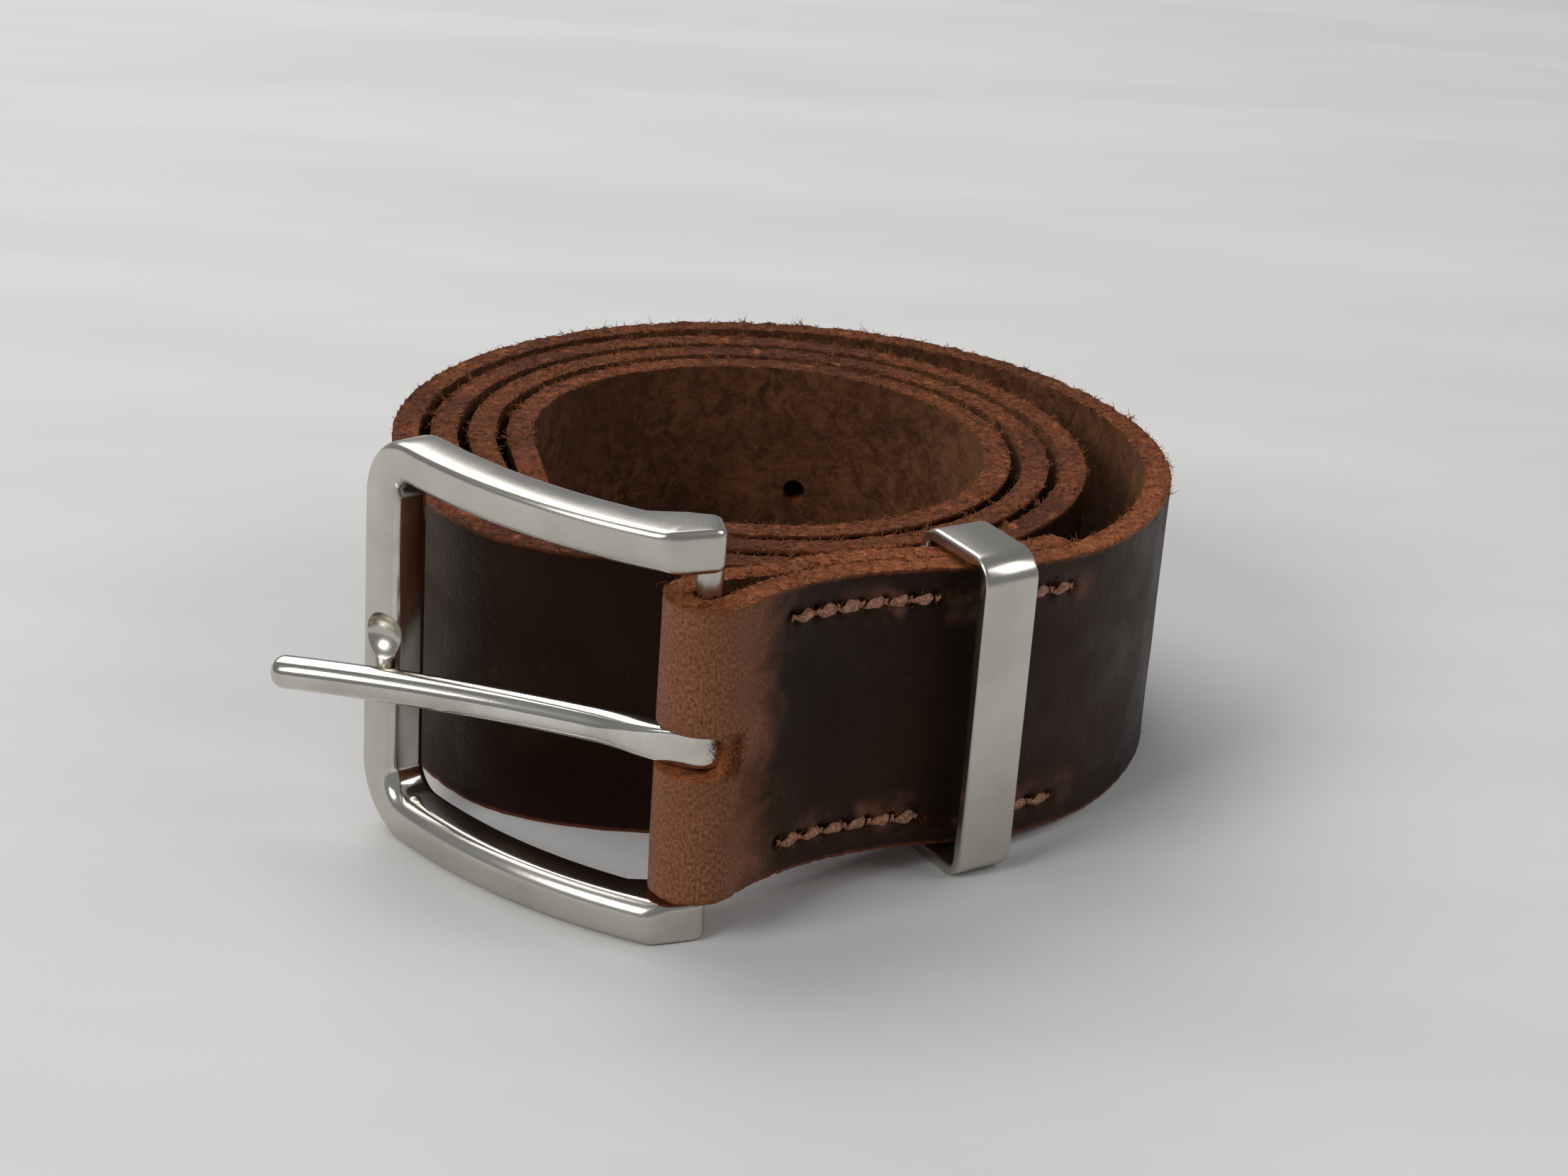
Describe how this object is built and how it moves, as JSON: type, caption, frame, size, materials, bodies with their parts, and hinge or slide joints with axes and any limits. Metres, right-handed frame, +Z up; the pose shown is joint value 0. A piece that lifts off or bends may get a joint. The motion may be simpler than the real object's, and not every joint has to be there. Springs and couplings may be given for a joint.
{
  "type": "leather belt",
  "caption": "Wide leather dress belt rolled into a coil on its edge, with an open bowed steel buckle, round prong and metal keeper.",
  "frame": {"origin": "centre of the object's box, on the floor that the rolled strap's lower edge stands on", "axes": "+Z up along the coil's axis and the buckle bar; -Y towards the folded buckle end; +X to the right with the prong pointing to -X"},
  "size_m": [0.1205, 0.1332, 0.056],
  "materials": {
    "leather": "oiled, semi-matt",
    "buckle_steel": "satin",
    "prong_steel": "polished",
    "keeper_steel": "satin",
    "thread": "waxed"
  },
  "bodies": {
    "belt": {"strap": "leather", "face_thread_upper": "thread", "face_thread_lower": "thread", "face_thread_upper_end": "thread", "face_thread_lower_end": "thread", "back_thread_upper": "thread", "back_thread_lower": "thread", "back_thread_upper_end": "thread", "back_thread_lower_end": "thread"},
    "buckle": {"buckle_frame": "buckle_steel", "buckle_bar": "buckle_steel"},
    "prong": {"prong": "prong_steel"},
    "keeper": {"keeper": "keeper_steel"}
  },
  "joints": [
    {"name": "buckle_turn", "type": "hinge", "parent": "belt", "child": "buckle", "pos_m": [-0.00387, -0.06134, 0], "axis": [0, 0, 1], "range_deg": [-6, 45]},
    {"name": "prong_turn", "type": "hinge", "parent": "buckle", "child": "prong", "pos_m": [-0.00387, -0.06134, 0], "axis": [0, 0, 1], "range_deg": [0, 45]},
    {"name": "keeper_slide", "type": "slide", "parent": "belt", "child": "keeper", "axis": [0.8434, 0.5373, 0], "range_m": [-0.0015, 0.0015]}
  ]
}
